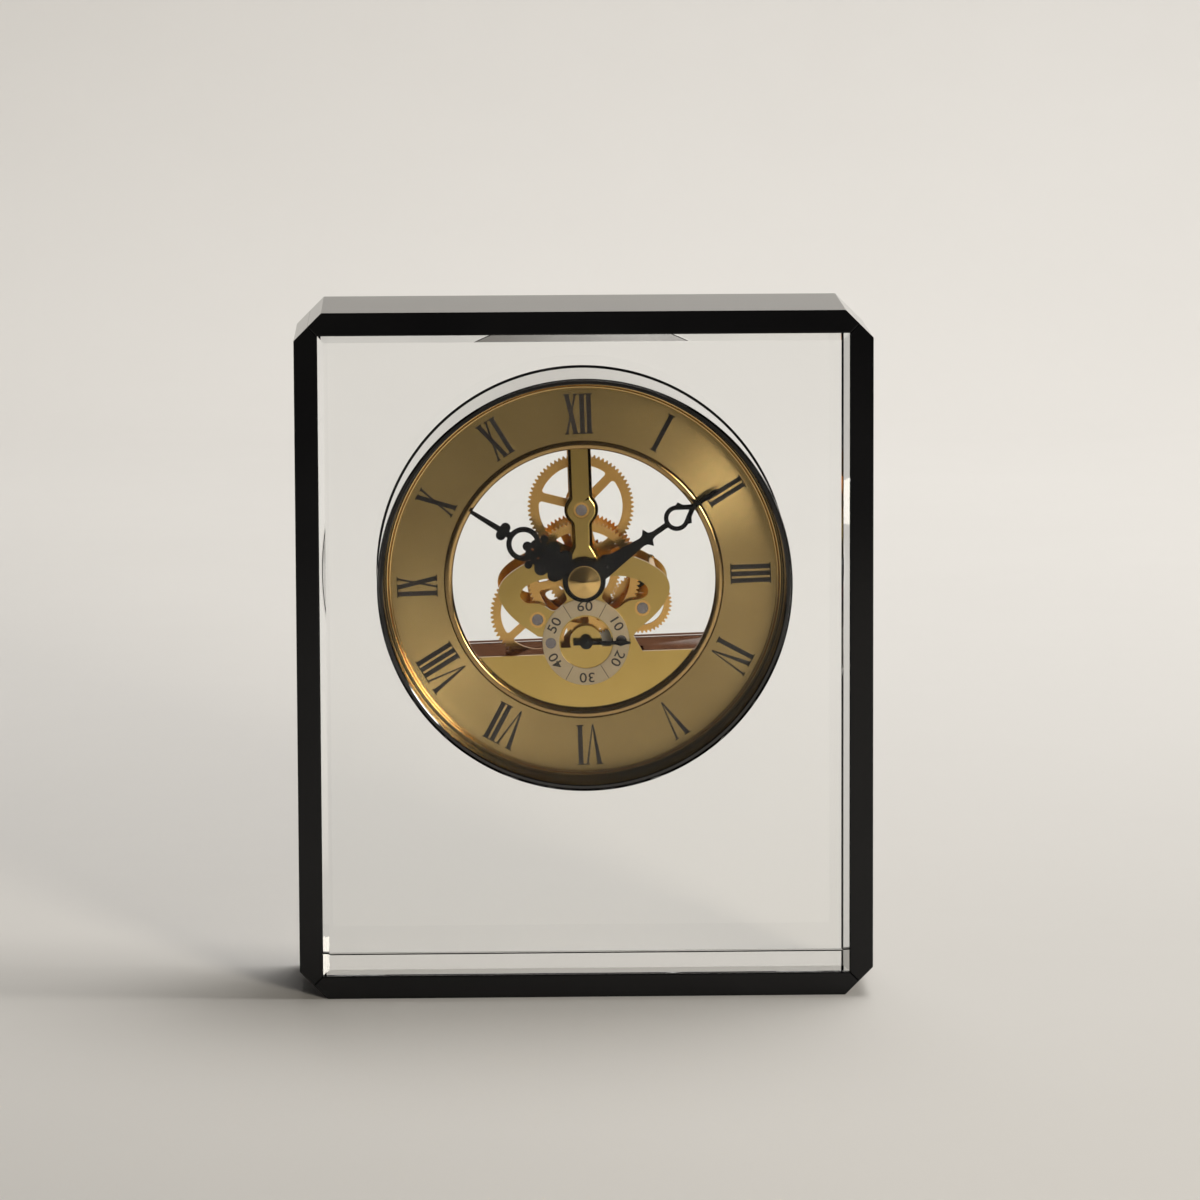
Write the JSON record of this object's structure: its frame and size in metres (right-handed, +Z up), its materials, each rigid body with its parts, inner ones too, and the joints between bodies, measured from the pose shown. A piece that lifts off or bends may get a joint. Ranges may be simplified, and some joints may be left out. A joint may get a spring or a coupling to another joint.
{
  "type": "crystal table clock",
  "caption": "Free-standing clear glass block clock with black glass edges and a round skeleton movement, open dial and subsidiary seconds.",
  "frame": {"origin": "middle of the bottom face, where the block stands", "axes": "+Z up, -Y towards the viewer of the dial, +X to the viewer's right"},
  "size_m": [0.125, 0.04, 0.15],
  "materials": {
    "crystal_glass": "polished clear optical glass",
    "black_glass": "polished black glass",
    "black_metal": "black semi-gloss paint",
    "rubber": "matt black rubber",
    "lens": "polished clear glass",
    "satin_gold": "circular satin, dark gold",
    "champagne": "fine satin, pale gold",
    "polished_gold": "polished gold plate",
    "plate_brass": "satin gold plate",
    "wheel_brass": "machined brass",
    "steel": "turned steel",
    "black_hand": "black gloss paint",
    "brown_plastic": "gloss, very dark brown",
    "black_plastic": "matt black",
    "white_plastic": "matt off-white",
    "copper": "enamelled copper wire",
    "board": "green lacquered board",
    "battery_wrap": "plain printed sleeve with steel ends"
  },
  "bodies": {
    "case": {"crystal_block": "crystal_glass", "left_panel": "black_glass", "right_panel": "black_glass", "top_panel": "black_glass", "bottom_panel": "black_glass"},
    "clock_insert": {"bezel_ring": "black_metal", "case_ring": "black_metal", "rubber_gaskets": "rubber", "front_lens": "lens", "bezel_wall": "black_metal", "trim_ring": "polished_gold", "chapter_ring": "satin_gold", "window_lip": "polished_gold", "dial_carrier": "black_metal", "front_plate": "plate_brass", "rear_plate": "plate_brass", "plate_pillars": "wheel_brass", "pillar_screws": "steel", "pivot_bushes": "wheel_brass", "subdial_ring": "champagne", "subdial_screws": "steel", "upper_arm": "plate_brass", "base_housing": "brown_plastic", "motor_bridge": "white_plastic", "motor_screws": "steel", "stator": "steel", "coil_core": "steel", "coil": "copper", "circuit_board": "board", "board_parts": "black_plastic", "battery": "battery_wrap", "battery_contacts": "wheel_brass", "rear_window": "lens", "rear_ring": "plate_brass"},
    "seconds_train": {"seconds_arbor": "steel", "seconds_wheel": "wheel_brass", "second_hand": "black_hand"},
    "motor_rotor": {"rotor_arbor": "steel", "rotor_magnet": "steel"},
    "motor_reduction": {"reduction_gear": "white_plastic"},
    "left_train": {"left_arbor": "steel", "left_wheel": "wheel_brass"},
    "centre_train": {"centre_wheel": "wheel_brass"},
    "minute_train": {"minute_arbor": "steel", "cannon_pinion": "wheel_brass", "setting_gear": "wheel_brass", "clutch_spring": "wheel_brass", "minute_hand": "black_hand", "hand_cap": "polished_gold"},
    "hour_train": {"hour_wheel": "wheel_brass", "hour_hand": "black_hand"},
    "top_train": {"top_arbor": "steel", "top_wheel": "wheel_brass"},
    "setting_train": {"setting_arbor": "steel", "right_wheel": "wheel_brass", "setting_knob": "black_plastic"},
    "cover": {"battery_cover": "brown_plastic"}
  },
  "joints": [
    {"name": "insert_slide", "type": "slide", "parent": "case", "child": "clock_insert", "axis": [0, -1, 0], "range_m": [0, 0.039]},
    {"name": "seconds_turn", "type": "hinge", "parent": "clock_insert", "child": "seconds_train", "pos_m": [0.00044, 0, 0.07661], "axis": [0, 1, 0], "continuous": true},
    {"name": "rotor_turn", "type": "hinge", "parent": "clock_insert", "child": "motor_rotor", "pos_m": [0.01196, -0.003, 0.06834], "axis": [0, 1, 0], "continuous": true},
    {"name": "reduction_turn", "type": "hinge", "parent": "clock_insert", "child": "motor_reduction", "pos_m": [0.00646, -0.003, 0.07266], "axis": [0, 1, 0], "continuous": true},
    {"name": "left_turn", "type": "hinge", "parent": "clock_insert", "child": "left_train", "pos_m": [-0.01012, 0.002, 0.08148], "axis": [0, 1, 0], "continuous": true},
    {"name": "centre_turn", "type": "hinge", "parent": "clock_insert", "child": "centre_train", "pos_m": [0, 0.008, 0.0905], "axis": [0, 1, 0], "continuous": true},
    {"name": "minute_turn", "type": "hinge", "parent": "clock_insert", "child": "minute_train", "pos_m": [0, 0, 0.0905], "axis": [0, 1, 0], "continuous": true},
    {"name": "hour_turn", "type": "hinge", "parent": "clock_insert", "child": "hour_train", "pos_m": [0, -0.008, 0.0905], "axis": [0, 1, 0], "continuous": true},
    {"name": "top_turn", "type": "hinge", "parent": "clock_insert", "child": "top_train", "pos_m": [-0.00048, -0.003, 0.10569], "axis": [0, 1, 0], "continuous": true},
    {"name": "setting_turn", "type": "hinge", "parent": "clock_insert", "child": "setting_train", "pos_m": [0.01281, 0, 0.0839], "axis": [0, 1, 0], "continuous": true},
    {"name": "cover_pull", "type": "slide", "parent": "clock_insert", "child": "cover", "axis": [0, 1, 0], "range_m": [0, 0.012]}
  ],
  "couplings": [
    {"joint": "left_turn", "follows": "seconds_turn", "ratio": -0.16667},
    {"joint": "centre_turn", "follows": "seconds_turn", "ratio": 0.016667},
    {"joint": "reduction_turn", "follows": "seconds_turn", "ratio": -5},
    {"joint": "rotor_turn", "follows": "seconds_turn", "ratio": 30},
    {"joint": "top_turn", "follows": "minute_turn", "ratio": -0.33333},
    {"joint": "hour_turn", "follows": "minute_turn", "ratio": 0.083333},
    {"joint": "setting_turn", "follows": "minute_turn", "ratio": -1.2273}
  ]
}
